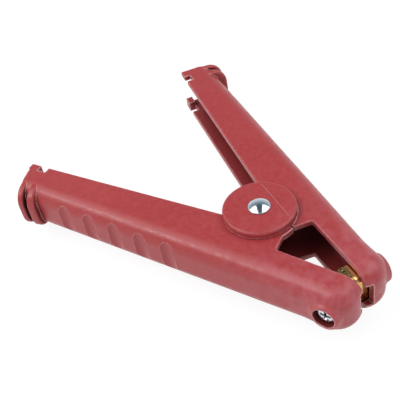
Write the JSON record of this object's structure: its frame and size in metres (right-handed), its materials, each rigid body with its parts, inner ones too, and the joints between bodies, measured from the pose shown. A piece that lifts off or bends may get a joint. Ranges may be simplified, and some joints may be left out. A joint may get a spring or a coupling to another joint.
{
  "type": "crocodile clip",
  "caption": "Insulated spring clip with hollow handles, a riveted pivot disc and toothed metal jaws held by screws.",
  "frame": {"origin": "middle of the closed jaws, halfway between the two levers' cheeks", "axes": "+X from the pivot to the jaws, +Y towards the back lever, +Z along the pivot rivet, out of the domed head"},
  "size_m": [0.148, 0.1188, 0.0301],
  "materials": {
    "red_plastic": "satin moulded, finely grained",
    "brass": "bright, lightly worn",
    "plated_steel": "zinc plated",
    "rivet_steel": "bright plated",
    "spring_steel": "drawn wire"
  },
  "bodies": {
    "front_half": {"front_lever": "red_plastic", "front_contact": "brass", "front_screw": "plated_steel", "front_nut": "plated_steel", "front_lock_washer": "plated_steel", "pivot_rivet": "rivet_steel", "rivet_washer": "plated_steel", "pivot_sleeve": "plated_steel", "torsion_spring": "spring_steel"},
    "back_half": {"back_lever": "red_plastic", "back_contact": "brass", "back_screw": "plated_steel", "back_nut": "plated_steel", "back_lock_washer": "plated_steel"}
  },
  "joints": [
    {"name": "jaw_pivot", "type": "hinge", "parent": "front_half", "child": "back_half", "pos_m": [-0.045, 0, 0], "axis": [0, 0, 1], "range_deg": [0, 40], "stiffness_Nm_per_rad": 0.4, "springref_deg": -34.38, "deforming": ["torsion_spring"]}
  ]
}
